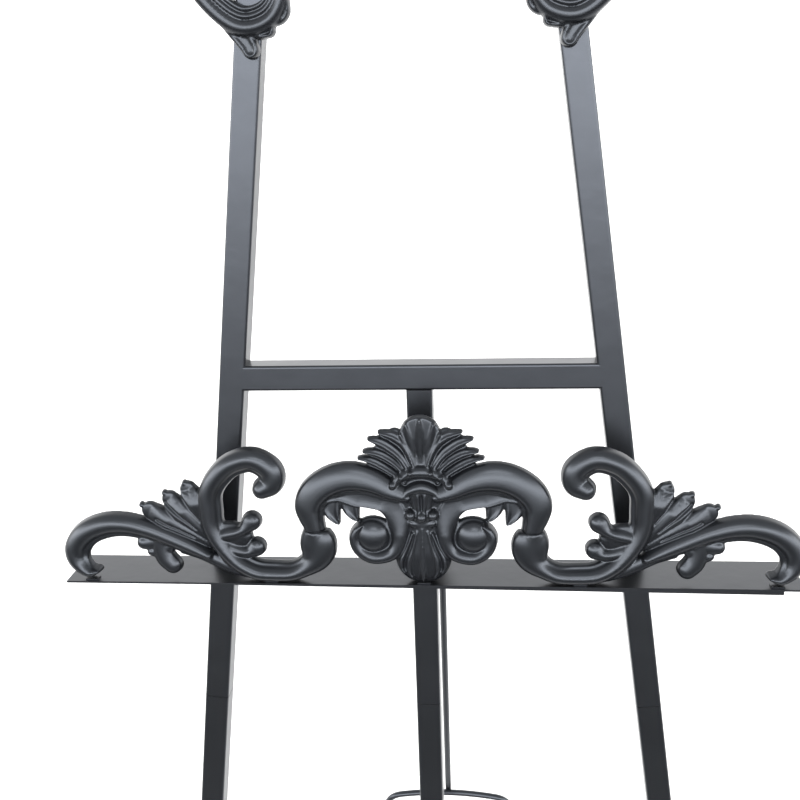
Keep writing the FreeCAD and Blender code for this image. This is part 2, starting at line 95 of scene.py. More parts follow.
# ---- materials: noise scales are per metre, bump depths in metres ----
COLOUR_SCALE, GLOSS_SCALE = 14.0, 30.0
RIPPLE_SCALE, RIPPLE_DEPTH, RIPPLE_STRENGTH = 60.0, 0.0006, 0.25
PEEL_SCALE, PEEL_DEPTH = 900.0, 0.00012
SMUDGE_SCALE = 120.0
GRAIN_DEPTH, GRAIN_STRENGTH = 0.0001, 0.35


def new_material(name):
    material = bpy.data.materials.new(name)
    material.use_nodes = True
    nodes = material.node_tree.nodes
    return material, nodes, material.node_tree.links, nodes["Principled BSDF"]


def noise(nodes, links, scale, detail, distort=0.0):
    place = nodes.new("ShaderNodeTexCoord")
    texture = nodes.new("ShaderNodeTexNoise")
    texture.inputs["Scale"].default_value = scale
    texture.inputs["Detail"].default_value = detail
    texture.inputs["Distortion"].default_value = distort
    links.new(place.outputs["Object"], texture.inputs["Vector"])
    return texture.outputs["Fac"]


def remap(nodes, links, value, low, high):
    ramp = nodes.new("ShaderNodeMapRange")
    ramp.inputs["To Min"].default_value = low
    ramp.inputs["To Max"].default_value = high
    links.new(value, ramp.inputs["Value"])
    return ramp.outputs["Result"]


def blend_range(nodes, links, value, low, high, to_low, to_high):
    """Smooth step from to_low to to_high, each a number or another node's output."""
    node = nodes.new("ShaderNodeMapRange")
    node.interpolation_type = "SMOOTHSTEP"
    node.inputs["From Min"].default_value = low
    node.inputs["From Max"].default_value = high
    for socket, amount in (("To Min", to_low), ("To Max", to_high)):
        if isinstance(amount, float):
            node.inputs[socket].default_value = amount
        else:
            links.new(amount, node.inputs[socket])
    links.new(value, node.inputs["Value"])
    return node.outputs["Result"]


def bump(nodes, links, height, distance, strength, below=None):
    node = nodes.new("ShaderNodeBump")
    node.inputs["Distance"].default_value = distance
    node.inputs["Strength"].default_value = strength
    links.new(height, node.inputs["Height"])
    if below is not None:
        links.new(below, node.inputs["Normal"])
    return node.outputs["Normal"]


def satin_paint(name, dark, light, roughness, peel, sheen, tint):
    """Stove paint: slightly uneven colour and gloss, with orange peel over a slow ripple."""
    material, nodes, links, shader = new_material(name)
    shader.inputs["Specular IOR Level"].default_value = sheen
    shader.inputs["Specular Tint"].default_value = (*tint, 1)
    mix = nodes.new("ShaderNodeMix")
    mix.data_type = "RGBA"
    mix.inputs["A"].default_value = (*dark, 1)
    mix.inputs["B"].default_value = (*light, 1)
    links.new(noise(nodes, links, COLOUR_SCALE, 4.0), mix.inputs["Factor"])
    links.new(mix.outputs["Result"], shader.inputs["Base Color"])
    links.new(remap(nodes, links, noise(nodes, links, GLOSS_SCALE, 5.0, 0.4), *roughness),
              shader.inputs["Roughness"])
    ripple = bump(nodes, links, noise(nodes, links, RIPPLE_SCALE, 2.0), RIPPLE_DEPTH, RIPPLE_STRENGTH)
    fine = bump(nodes, links, noise(nodes, links, PEEL_SCALE, 2.0), PEEL_DEPTH, peel, ripple)
    links.new(fine, shader.inputs["Normal"])
    return material


def plain_finish(name, colour, metallic, roughness, grain):
    """Even colour, slightly uneven gloss, and a fine grain of the given noise scale."""
    material, nodes, links, shader = new_material(name)
    shader.inputs["Base Color"].default_value = (*colour, 1)
    shader.inputs["Metallic"].default_value = metallic
    links.new(remap(nodes, links, noise(nodes, links, SMUDGE_SCALE, 5.0), *roughness),
              shader.inputs["Roughness"])
    rough = bump(nodes, links, noise(nodes, links, grain, 3.0), GRAIN_DEPTH, GRAIN_STRENGTH)
    links.new(rough, shader.inputs["Normal"])
    return material


def dress(name, material):
    """Gives a carried-over CAD node its finish."""
    mesh = frame["nodes"][name].data
    mesh.materials.clear()
    mesh.materials.append(material)


# ---- castings: strokes drawn in the plane of the frame, (across, up, width) at each point, in mm ----
PER_SPAN = 10               # points of the curve in each span of a stroke


def through(points):
    """Catmull-Rom curve through the points, every coordinate interpolated alike."""
    p = np.array(points, float)
    p = np.vstack([2 * p[0] - p[1], p, 2 * p[-1] - p[-2]])
    t = np.linspace(0, 1, PER_SPAN, endpoint=False)[:, None]
    spans = []
    for a, b, c, d in zip(p[:-3], p[1:-2], p[2:-1], p[3:]):
        spans.append(0.5 * (2 * b + (c - a) * t + (2 * a - 5 * b + 4 * c - d) * t ** 2
                            + (3 * b - a - 3 * c + d) * t ** 3))
    return np.vstack(spans + [p[-2:-1]])


def measure(grid, points):
    """Where each grid point lies: across the stroke (edges at -1 and 1), along it, and how deep inside."""
    line = through(points)
    ahead = np.gradient(line[:, :2], axis=0)
    ahead /= np.linalg.norm(ahead, axis=1)[:, None] + 1e-9
    along = np.concatenate([[0], np.cumsum(np.linalg.norm(np.diff(line[:, :2], axis=0), axis=1))])
    offset = grid[:, None, :] - line[None, :, :2]
    distance = np.linalg.norm(offset, axis=2)
    half = np.maximum(line[:, 2] / 2, HALF_WIDTH_LEAST)
    nearest = np.argmin(distance - half[None, :], axis=1)
    rows = np.arange(len(grid))
    gap = distance[rows, nearest]
    near = offset[rows, nearest]
    side = np.sign(ahead[nearest, 0] * near[:, 1] - ahead[nearest, 1] * near[:, 0])
    return side * gap / half[nearest], along[nearest] / along[-1], half[nearest] - gap


def dome(t, middle, half):
    """Round hump across a stroke, from middle - half to middle + half."""
    return np.sqrt(np.clip(1 - ((t - middle) / half) ** 2, 0, 1))


def round_roll(t, s):
    return dome(t, 0, 1.02)


def double_roll(t, s):
    """Broad outer roll and a lower inner one, with a groove between them that fades at both ends."""
    pair = smooth_max(dome(t, -0.18, 0.86), 0.36 * dome(t, 0.62, 0.46), 0.20)
    fade = np.clip(np.minimum(s * 6, (1 - s) * 6 - 0.5), 0, 1)
    return round_roll(t, s) * (1 - fade) + pair * fade


def arch_roll(t, s):
    """Long slope up from the outer edge, a crest past the middle, and a steep fall to a low inner band."""
    slope = np.where(t < 0.3, dome(t, 0.3, 1.35), dome(t, 0.3, 0.56))
    return smooth_max(slope, 0.42 * dome(t, 0.6, 0.8), 0.2)


def triple_roll(t, s):
    """Three concentric rolls, the outer one the broadest."""
    return smooth_max(smooth_max(dome(t, -0.46, 0.62), 0.86 * dome(t, 0.28, 0.3), 0.08),
                      0.76 * dome(t, 0.76, 0.28), 0.08)


def underside(t, s):
    """Hollow band that fills out into a round roll along its length."""
    fill = np.clip((s - 0.36) / 0.2, 0, 1)
    return (0.72 - 0.34 * dome(t, 0, 1)) * (1 - fill) + round_roll(t, s) * fill


def blade(t, s):
    """Feather: a round roll, fuller towards its lower edge, sinking towards its tip."""
    return smooth_max(dome(t, 0.28, 0.74), 0.7 * dome(t, -0.5, 0.52), 0.3) * (1 - 0.4 * s)


def finger(t, s):
    """Leaf lobe: it swells towards its end, then falls away to the tip."""
    swell = 0.36 + 0.64 * np.clip(s / 0.7, 0, 1) ** 0.8 - 0.62 * np.clip((s - 0.7) / 0.3, 0, 1) ** 1.6
    return swell * (0.45 + 0.55 * dome(t, 0, 1.02))


def spoon(t, s):
    """Leaf lobe hollowed down the middle, with rolled edges."""
    lip = np.exp(-((np.abs(t) - 0.66) / 0.24) ** 2)
    return (0.4 + 0.3 * s) * (0.5 + 0.5 * lip) + 0.1 * s


def keel(t, s):
    """Blade with a rounded ridge and steep sides."""
    return 1 - np.abs(t) ** 1.5


def fan(t, s):
    """Low blade that comes forward towards its top."""
    return (0.25 + 0.75 * s) * (0.8 + 0.2 * dome(t, 0, 1.02))


def rising_roll(t, s):
    """Round roll that comes forward along its length."""
    return (0.45 + 0.55 * s) * round_roll(t, s)


def smooth_max(a, b, k):
    blend = np.clip(0.5 + 0.5 * (a - b) / k, 0, 1)
    return b * (1 - blend) + a * blend + k * blend * (1 - blend)


def smooth_min(a, b, k):
    return -smooth_max(-a, -b, k)


EDGE_SPARE = 0.4            # makes up for what rounding takes off the outline
FAR_OUTSIDE = -50.0         # depth of a grid point that no stroke reaches
RELIEF_ROOM = 17.0          # how far out from its back a casting can reach
STROKE_REACH, BALL_REACH, GROOVE_REACH = 6.0, 3.0, 1.0     # how far past its edge each one has an effect
HALF_WIDTH_LEAST = 0.2
FADE_REACH, FADE_RATE = 3, 6        # past its edge a stroke's height falls at this rate, over this reach
EDGE_BLEND = 1.0
WALL = 2.4                  # thickness over the hollow back
RIM = 2.2                   # how softly the face rounds into the sides
STEEPEST = 9.0              # largest squared slope that the distance to the face is corrected for
HOLLOW_INSET = 1.8          # how far inside the outline the hollow back starts
HOLLOW_RATE = 1.5           # how fast it deepens from there
HOLLOW_SOFTENING = 6
RELAX_TIMES, RELAX_AMOUNT = 3, 0.5
RELAX_BACK = 0.9            # share of each smoothing step taken back, so that the shape doesn't shrink


class Relief:
    """A flat-backed casting as a height over the frame's plane, turned into a closed shell."""

    def __init__(self, low, high, step=0.6):
        self.step = step
        self.xs = np.arange(low[0], high[0] + step, step)
        self.zs = np.arange(low[1], high[1] + step, step)
        grid = np.stack(np.meshgrid(self.xs, self.zs, indexing="ij"), -1)
        self.shape = grid.shape[:2]
        self.grid = grid.reshape(-1, 2)
        self.height = np.zeros(len(self.grid))
        self.inside = np.full(len(self.grid), FAR_OUTSIDE)

    def near(self, points, reach):
        """Rows of the grid points within reach of a stroke's box."""
        p = np.array(points, float)
        pad = p[:, 2].max() / 2 + reach
        low, high = p[:, :2].min(0) - pad, p[:, :2].max(0) + pad
        return np.where(np.all((self.grid > low) & (self.grid < high), axis=1))[0]

    def stroke(self, points, profile, base, rise, outer=1, blend=1.0):
        """Adds a ribbon; outer is +1 where the stroke's left-hand edge is its outer one."""
        rows = self.near(points, STROKE_REACH)
        t, s, depth = measure(self.grid[rows], points)
        top = base + rise * profile(np.clip(-t * outer, -1, 1), s)
        self.merge(rows, top, depth, blend)

    def ball(self, place, base, rise, blend=0.5):
        """Adds a round boss; place is (across, up, width)."""
        rows = self.near([place], BALL_REACH)
        gap = np.linalg.norm(self.grid[rows] - place[:2], axis=1)
        top = base + rise * dome(gap, 0, place[2] / 2)
        self.merge(rows, top, place[2] / 2 - gap, blend)

    def merge(self, rows, top, depth, blend):
        """Keeps the higher surface; a stroke's own height fades out quickly past its edge."""
        top = top + np.clip(depth, -FADE_REACH, 0) * FADE_RATE
        self.height[rows] = smooth_max(self.height[rows], top, blend)
        self.inside[rows] = smooth_max(self.inside[rows], depth, EDGE_BLEND)

    def groove(self, points, depth):
        """Rounded valley along a line; its width is the stroke's width."""
        rows = self.near(points, GROOVE_REACH)
        t = measure(self.grid[rows], points)[0]
        self.height[rows] -= depth * np.clip(1 - t ** 2, 0, 1) ** 1.5

    def trim(self, where, margin):
        """Cuts the casting off where margin, a distance from the cut, is negative."""
        self.inside[where] = np.minimum(self.inside[where], margin[where])

    def shell(self):
        """Closed mesh of the casting: relief in front, rounded rim, hollow back."""
        step = self.step
        top = self.height.reshape(self.shape)
        edge = self.inside.reshape(self.shape) + EDGE_SPARE
        top = soften(top, 1)
        gx, gz = np.gradient(top, step)
        steep = np.sqrt(1 + np.minimum(gx ** 2 + gz ** 2, STEEPEST))
        ws = np.arange(-2 * step, RELIEF_ROOM, step)
        hollow = np.minimum(soften(top, HOLLOW_SOFTENING) - WALL, (edge - HOLLOW_INSET) * HOLLOW_RATE)
        hollow = np.clip(hollow, 0, None)
        over = (top[:, :, None] - ws[None, None, :]) / steep[:, :, None]
        body = smooth_min(over, np.broadcast_to(edge[:, :, None], over.shape), RIM)
        field = np.minimum(body, ws[None, None, :] - hollow[:, :, None])
        corner = np.array([self.xs[0], self.zs[0], ws[0]])
        return surface_nets(field, corner, step)


def soften(values, times):
    """Blurs a grid of values a little, times over."""
    for _ in range(times):
        padded = np.pad(values, 1, mode="edge")
        values = (padded[:-2, 1:-1] + padded[2:, 1:-1] + padded[1:-1, :-2] + padded[1:-1, 2:]
                  + 2 * padded[1:-1, 1:-1]) / 6
    return values


def surface_nets(field, corner, step):
    """Closed quad mesh of field = 0, one vertex in each cell that it crosses."""
    inside = field > 0
    shape = np.array(field.shape) - 1
    total = np.zeros((*shape, 3))
    count = np.zeros(tuple(shape))

    def at(values, offset):
        i, j, k = offset
        return values[i:i + shape[0], j:j + shape[1], k:k + shape[2]]

    corners = [(i, j, k) for i in (0, 1) for j in (0, 1) for k in (0, 1)]
    edges = [(a, b) for a in corners for b in corners
             if sum(b) - sum(a) == 1 and all(y >= x for x, y in zip(a, b))]
    for a, b in edges:
        fa, fb = at(field, a), at(field, b)
        crossed = at(inside, a) != at(inside, b)
        share = np.where(crossed, fa / np.where(crossed, fa - fb, 1), 0)
        for axis in range(3):
            total[..., axis] += crossed * (a[axis] + (b[axis] - a[axis]) * share)
        count += crossed
    used = count > 0
    index = -np.ones(tuple(shape), int)
    index[used] = np.arange(used.sum())
    where = np.argwhere(used)
    points = corner + (where + total[used] / count[used][:, None]) * step
    quads = []
    for axis in range(3):
        u, v = (axis + 1) % 3, (axis + 2) % 3
        first = np.take(inside, range(field.shape[axis] - 1), axis)
        second = np.take(inside, range(1, field.shape[axis]), axis)
        for rising in (True, False):
            cells = np.argwhere((second & ~first) if rising else (first & ~second))
            cells = cells[(cells[:, u] > 0) & (cells[:, v] > 0)]
            cells = cells[(cells[:, u] < field.shape[u] - 1) & (cells[:, v] < field.shape[v] - 1)]
            ring = []
            for du, dv in ((0, 0), (1, 0), (1, 1), (0, 1)):
                near = cells.copy()
                near[:, u] -= du
                near[:, v] -= dv
                ring.append(index[near[:, 0], near[:, 1], near[:, 2]])
            quad = np.stack(ring, 1)
            quads.append(quad[:, ::-1] if rising else quad)
    return points, np.vstack(quads)


def relax(points, quads):
    """Evens the surface out a little."""
    edges = np.vstack([quads[:, [0, 1]], quads[:, [1, 2]], quads[:, [2, 3]], quads[:, [3, 0]]])
    degree = np.bincount(edges.ravel(), minlength=len(points))[:, None]
    for share in (RELAX_AMOUNT, -RELAX_AMOUNT * RELAX_BACK) * RELAX_TIMES:
        mean = np.zeros_like(points)
        for axis in range(3):
            mean[:, axis] = (np.bincount(edges[:, 0], points[edges[:, 1], axis], len(points))
                             + np.bincount(edges[:, 1], points[edges[:, 0], axis], len(points)))
        points = points + share * (mean / degree - points)
    return points


def casting(name, node, relief, place, material, mirror=False):
    """Makes the relief's mesh at place (across, up, out), standing for a CAD node."""
    points, quads = relief.shell()
    points = relax(points, quads)
    if mirror:
        points = points * np.array([-1, 1, 1])
        quads = quads[:, ::-1]
    basis = np.array([ACROSS, UP, OUT])
    world = np.array(CROSSBAR) + ((points + np.array(place)) * MM) @ basis
    mesh = bpy.data.meshes.new(name)
    mesh.from_pydata(world.tolist(), [], quads.tolist())
    mesh.polygons.foreach_set("use_smooth", np.ones(len(mesh.polygons), bool))
    mesh.materials.append(material)
    mesh.update()
    piece = bpy.data.objects.new(name, mesh)
    bpy.context.scene.collection.objects.link(piece)
    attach(piece, "front_frame")
    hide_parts(node)


# Tray castings, right half: across from the centre line, up from the tray's top face.
END_SCROLL = [(256.5, 8, 5), (264, 7.5, 11), (271.5, 16, 17), (271.5, 27, 20), (262.5, 38, 21),
              (248, 44.5, 21), (232, 45.8, 20), (214, 42, 18.5), (196, 35, 17), (178, 28, 13),
              (166, 22.5, 8)]
MAIN_SCROLL = [(120.5, 76.5, 16), (113.5, 82, 20), (114.5, 92, 20.5), (127, 99.3, 20), (142.5, 95.5, 19),
               (154, 85.5, 18.5), (161, 73.5, 18), (162, 59, 18), (161, 45.5, 17), (155, 32, 17),
               (144, 18, 16), (130, 9.5, 16), (114, 8, 15.5), (101, 8.5, 15.5), (90.5, 13, 17),
               (83.5, 18.5, 21.5), (80.5, 25, 26.5), (80.5, 31.5, 28.5), (81.5, 36.5, 23.5),
               (82.2, 40.5, 18.5), (82.5, 44, 16)]
TAIL = [(186, 25.5, 8), (173, 22.5, 11), (160, 16.5, 12), (148, 10.5, 11), (135, 6, 9), (121, 3.5, 6)]
SIDE_LEAVES = [
    [(164, 30, 6), (184, 43, 10), (200, 53, 14), (210, 58, 14)],
    [(163, 34, 6), (178, 50, 12), (188, 60.5, 16), (193.5, 67.5, 13)],
    [(162, 38, 7), (169.5, 54, 13), (175, 67, 17), (178.5, 75.5, 13)],
]
LEAF_TIPS = [(216.5, 62.5, 4.5), (197.5, 72.5, 4.5), (181, 80.5, 4.5)]
LEAF_VALLEYS = [
    [(174, 44, 2), (186, 56, 3.5), (197, 65, 3)],
    [(168, 47, 2), (177, 60, 3.5), (184, 70, 3)],
    [(176, 37, 2), (190, 45, 3), (204, 52, 3)],
]
LEAFLET = [
    [(200, 34, 14), (211, 31.5, 14.5), (217.5, 31, 12)],
    [(199, 28, 13), (207, 24.5, 12.5), (211.5, 24, 9)],
]
KNOB = [(204, 36, 12), (204, 27, 15), (201.5, 18.5, 16.5), (196.5, 12.5, 15.5)]

CURL_WEB = [(154, 37, 24), (145, 36, 24), (138, 37, 14)]
CURL_LEAVES = [
    [(157, 38, 10), (149, 39.5, 11.5), (141.5, 41.5, 10), (136, 44.5, 10.5), (131.5, 49, 15),
     (130.5, 50, 15)],
    [(157, 32, 9), (148, 27, 11.5), (140, 25, 10), (134, 25, 10.5), (129, 27.5, 14.5), (128.2, 28.5, 14.5)],
]

ARCH = [(82.5, 40, 18), (82.5, 44, 17), (83.3, 49, 17.5), (84.8, 55, 20), (85.6, 63, 22.5), (81.3, 72, 24),
        (73, 79.5, 24.5), (62, 84.5, 24.5), (50, 85.8, 23.5), (37, 83, 20.5), (24, 77, 17), (12, 73, 13)]
UNDER_LIMB = [(80, 63, 8), (74, 71.5, 12), (62, 75, 14.5), (49, 73, 19), (38, 70.5, 18), (29, 67.5, 17),
              (22.5, 61, 16.5), (18.5, 52, 16), (17, 43, 14), (18, 33.5, 12.5), (22.5, 25.5, 12),
              (30.5, 21.5, 11.5), (40, 21.5, 11.5), (48.5, 27.5, 11), (52, 36.5, 9.5), (50, 43.5, 7.5),
              (46, 48, 4)]
VOLUTE_DISC = (37.5, 36, 36)
VOLUTE_EYE = (38.2, 38.5, 27)
VOLUTE_WEB = [(23, 44, 8), (24, 36, 10), (28, 30, 10)]
ARCH_LEAVES = [
    [(68, 75, 17), (69, 66, 17), (68.5, 58.5, 13.5), (66, 52.5, 8), (63.5, 48.5, 2.5)],
    [(53.5, 75, 17), (54, 68, 16.5), (53.8, 61, 13.5), (51.5, 55, 8), (49, 51.5, 2.5)],
]
FEATHERS = [
    [(4, 93, 4), (6, 100, 5), (9, 108, 6.5), (13, 114, 7), (19, 118.3, 7), (25, 120.3, 5.5),
     (30, 121.3, 3)],
    [(7, 89, 4), (10.5, 96, 5.5), (15, 103, 6.5), (21, 108.5, 7.5), (28, 113, 7.5),
     (34, 115.2, 5.5), (38, 116, 3)],
    [(10, 86, 4), (12.5, 90, 5), (17.5, 96.5, 5.5), (24, 101.5, 6.5), (31, 105, 6.5),
     (38, 106.3, 5), (42, 106.3, 3)],
    [(12, 83, 4), (15, 86, 4.5), (21, 90.5, 5.5), (28, 95, 6.5), (35, 98.7, 6.5),
     (42, 100.8, 4.5), (46, 101, 3)],
]
CREST = [(0, 92, 18), (0, 104, 20), (0, 112, 26), (0, 118.5, 30.5)]
CREST_RIBS = [
    [(0, 90, 5), (0, 106, 6.5), (0, 121, 9), (0, 131.5, 3)],
    [(4, 91, 4.5), (5.5, 106, 6), (8, 118, 7.5), (10.2, 128, 3)],
    [(7.5, 93, 4), (9.5, 106, 5.5), (12, 113, 6.5), (14.3, 120.5, 3)],
]
COLLAR = [(-20.5, 82.5, 6), (-17, 86, 7.5), (-12, 89, 8.5), (-6, 90.8, 9.5), (0, 91.3, 10),
          (6, 90.8, 9.5), (12, 89, 8.5), (17, 86, 7.5), (20.5, 82.5, 6)]
COLLAR_BEADS = [(20.8, 82, 6), (14.5, 88, 4.5), (7.5, 91.5, 4.5)]
INNER_COLLAR = [(-13.5, 72.5, 5), (-8.5, 77, 8), (0, 79.2, 10), (8.5, 77, 8), (13.5, 72.5, 5)]
THROAT = [(0, 90, 34), (0, 80, 40), (0, 70, 42), (0, 60, 38), (0, 48, 32), (0, 36, 28)]
VASE = [(0, 72, 19), (0, 67, 17), (0, 61, 14)]
VASE_FLUTES = [
    [(0, 73, 3.5), (0, 67, 4), (0, 61, 2.5)],
    [(5, 72.5, 3), (4.6, 67, 3.5), (3.8, 61, 2)],
]
BEAD_RING = [(-8.5, 57, 8), (0, 55.5, 9), (8.5, 57, 8)]
RING_BEADS = [(8.3, 57.8, 7.5), (0, 56.2, 8)]
NECK_RING = [(-7.5, 50, 6), (0, 49, 7), (7.5, 50, 6)]
SHAFT = [(0, 52, 15), (0, 42, 18), (0, 34, 23), (0, 26, 31)]
BELL = [(0, 34, 20), (0, 27, 35), (0, 20.5, 43)]
BELL_PETALS = [
    [(0, 46, 4), (0, 32, 8), (0, 18, 11), (0, 8, 8), (0, 3, 3)],
    [(4, 44, 3), (7, 31, 6), (10.5, 19, 9), (10.5, 10, 7), (8, 5.5, 3)],
    [(7.5, 42, 3), (12, 30, 5), (16, 21, 7), (16.5, 14, 6), (14, 9.5, 3)],
]

# Crown castings, right half: up from the crossbar's centre.
CROWN_SCROLL = [(24, 487, 12), (52, 503, 16), (88, 500, 19), (122, 478, 20), (148, 440, 21), (161, 396, 21),
                (162, 350, 20), (153, 306, 19), (138, 278, 19), (117, 260, 20), (98, 262, 19),
                (88.5, 276, 15), (93, 292, 13), (104, 298, 12)]
CROWN_LEAVES = [
    [(126, 264, 16), (118, 253, 15), (111, 243, 13), (109.5, 239.5, 12)],
    [(114, 258, 14), (104, 253, 13), (96.5, 252, 10)],
    [(99, 263, 14), (91, 261, 13), (86, 264, 11), (84.5, 272, 8)],
    [(155, 335, 24), (171, 356, 20), (180, 378, 14), (183, 391, 6)],
    [(155, 388, 24), (169, 410, 19), (177, 430, 14), (178.5, 445, 6)],
    [(143, 428, 24), (154, 450, 19), (159.5, 468, 14), (158.5, 485, 6)],
    [(160, 386, 20), (144, 373, 17), (130, 375, 14), (120, 384, 7)],
    [(160, 352, 20), (143, 342, 16), (131, 341, 13), (122, 348, 7)],
]
WEB_SPARE = 5.0             # how much wider the web between the feathers is than they are
ABOVE_TRAY = 0.9            # gap between the tray's top face and the castings
EVERYWHERE = slice(None)
NECK_SEAM = 43.5            # height where the middle casting stands on the side ones
SEAM_GAP = 0.3
NECK_INNER, NECK_OUTER = 66, 99     # the seam crosses the castings between these
CROWN_PALMETTE_UP = 412.0   # the crown's palmette is the tray's, raised this far and enlarged
CROWN_SCALE = 1.15
CROWN_STEM = [(0, 514, 36), (0, 500, 46), (0, 482, 45), (0, 462, 34), (0, 446, 24), (0, 430, 12),
              (0, 420, 5)]
CROWN_STEM_FLUTES = [
    [(0, 492, 3), (0, 470, 4.5), (0, 440, 2)],
    [(8, 490, 3), (7, 470, 4), (4, 446, 2)],
]


def scaled(points, scale, up):
    return [(x * scale, z * scale + up, width * scale) for x, z, width in points]


def both_sides(points):
    """The points and their mirror image."""
    return [points, [(-x, z, width) for x, z, width in points]]


def pairs(strokes, scale=1.0, up=0.0):
    """Every stroke on both sides of the centre line, each with the sign of its side."""
    return [(side, turn) for points in strokes
            for side, turn in zip(both_sides(scaled(points, scale, up)), (1, -1))]


def bosses(places, scale=1.0, up=0.0):
    """Every place on both sides of the centre line."""
    right, left = both_sides(scaled(places, scale, up))
    return right + left


def tray_side_relief():
    relief = Relief((64, -2), (286, 114))
    for leaf in SIDE_LEAVES:
        relief.stroke(leaf, finger, 2.5, 8.0, blend=0.5)
    for tip in LEAF_TIPS:
        relief.ball(tip, 3.5, 2.0)
    for leaf in LEAFLET:
        relief.stroke(leaf, round_roll, 2.5, 5.5, blend=0.5)
    for valley in LEAF_VALLEYS:
        relief.groove(valley, 2.5)
    relief.stroke(CURL_WEB, round_roll, 3.0, 4.5, blend=2.0)
    for leaf in CURL_LEAVES:
        relief.stroke(leaf, round_roll, 3.0, 7.0, blend=1.6)
    relief.stroke(KNOB, round_roll, 2.5, 7.0, blend=0.6)
    relief.stroke(TAIL, round_roll, 3.0, 5.0)
    relief.stroke(END_SCROLL, double_roll, 3.0, 9.0, outer=-1)
    relief.stroke(MAIN_SCROLL, double_roll, 3.0, 9.5, outer=1)
    across, up = relief.grid.T
    relief.trim(EVERYWHERE, up - ABOVE_TRAY)
    relief.trim(across < NECK_OUTER, NECK_SEAM - SEAM_GAP - up)
    return relief


def palmette(relief, scale, up):
    """Feathers fanned out on either side of a ribbed crest."""
    for feather, _ in pairs(FEATHERS[::-1], scale, up):
        web = [(x, z, width + WEB_SPARE) for x, z, width in feather[:-2]]
        relief.stroke(web, round_roll, 2.4, 1.6, blend=0.5)
    relief.stroke(scaled(CREST, scale, up), fan, 2.5, 4.0)
    for rib, _ in pairs(CREST_RIBS, scale, up):
        relief.stroke(rib, rising_roll, 2.6, 6.0, blend=0.5)
    for feather, turn in pairs(FEATHERS[::-1], scale, up):
        relief.stroke(feather, blade, 2.6, 7.0, outer=turn, blend=0.4)


def tray_centre_relief():
    relief = Relief((-100, -2), (100, 137))
    palmette(relief, 1.0, 0.0)
    for web, _ in pairs([VOLUTE_WEB]):
        relief.stroke(web, round_roll, 3.0, 2.0)
    for disc in bosses([VOLUTE_DISC]):
        relief.ball(disc, 2.5, 4.5)
    relief.stroke(THROAT, round_roll, 3.0, 3.5)
    for leaf, _ in pairs(ARCH_LEAVES):
        relief.stroke(leaf, spoon, 2.5, 6.0, blend=0.6)
    for limb, _ in pairs([UNDER_LIMB]):
        relief.stroke(limb, underside, 3.0, 7.5, blend=2.0)
    for arch, turn in pairs([ARCH]):
        relief.stroke(arch, arch_roll, 3.0, 9.0, outer=-turn, blend=2.0)
    for eye in bosses([VOLUTE_EYE]):
        relief.ball(eye, 3.0, 9.0, blend=0.6)
    relief.stroke(VASE, round_roll, 4.0, 7.5)
    for flute, _ in pairs(VASE_FLUTES):
        relief.groove(flute, 1.2)
    relief.stroke(COLLAR, round_roll, 5.0, 6.5, blend=0.5)
    relief.stroke(INNER_COLLAR, round_roll, 5.5, 6.5, blend=0.8)
    relief.stroke(SHAFT, round_roll, 3.5, 6.0)
    relief.stroke(BELL, round_roll, 2.8, 6.0)
    for petal, _ in pairs(BELL_PETALS):
        relief.stroke(petal, keel, 5.0, 5.5, blend=0.3)
    relief.stroke(BEAD_RING, round_roll, 6.5, 4.0, blend=0.8)
    relief.stroke(NECK_RING, round_roll, 6.0, 3.0, blend=0.8)
    for bead in bosses(COLLAR_BEADS):
        relief.ball(bead, 10.0, 3.5, blend=0.5)
    for bead in bosses(RING_BEADS):
        relief.ball(bead, 10.0, 4.0, blend=0.6)
    across, up = relief.grid.T
    relief.trim(EVERYWHERE, up - ABOVE_TRAY)
    relief.trim(np.abs(across) > NECK_INNER, up - NECK_SEAM)
    return relief


def crown_side_relief():
    relief = Relief((6, 228), (192, 516), step=0.8)
    for leaf in CROWN_LEAVES[1:]:
        relief.stroke(leaf, spoon, 2.8, 7.0, blend=0.5)
    relief.stroke(CROWN_LEAVES[0], spoon, 4.0, 5.5, blend=0.8)
    relief.stroke(CROWN_SCROLL, triple_roll, 3.5, 8.0, outer=1)
    return relief


def crown_centre_relief():
    relief = Relief((-56, 412), (56, 566), step=0.7)
    palmette(relief, CROWN_SCALE, CROWN_PALMETTE_UP)
    relief.stroke(CROWN_STEM, round_roll, 3.0, 8.0)
    for flute, _ in pairs(CROWN_STEM_FLUTES):
        relief.groove(flute, 2.0)
    relief.stroke(scaled(COLLAR, CROWN_SCALE, CROWN_PALMETTE_UP), round_roll, 4.0, 8.0, blend=0.5)
    for bead in bosses(COLLAR_BEADS, CROWN_SCALE, CROWN_PALMETTE_UP):
        relief.ball(bead, 9.5, 3.5)
    return relief


# ---- stage: radiances of the surroundings, white = 1; lengths in metres ----
COVE = 2.3                  # behind the easel
FRONT_LOW = 1.5             # in front, at floor level
FRONT_PEAK = 12.5           # in front, higher up
OVERHEAD = 1.2
FRONT_RISE = (-0.08, 0.20)  # sines of the elevation between which the front brightens
OVERHEAD_FALL = (0.26, 0.52)
SIDES = (-0.25, 0.25)       # sines of the direction between which front turns to cove
SOFTBOX = 12.0
SOFTBOX_AT, SOFTBOX_AIM, SOFTBOX_SIZE = (0.2, -2.2, 2.5), (0, 0, 0.9), (1.4, 0.5)
FLOOR_HALF = 6.0
PAPER = 0.85
PAPER_FRONT = 0.06          # what reflections see of the paper in front of the easel
PAPER_FAR = 0.5             # and further out
NEAR_EDGE = (-0.9, 0.1)     # places along Y between which one turns to the next
FAR_EDGE = (-4.5, -2.2)


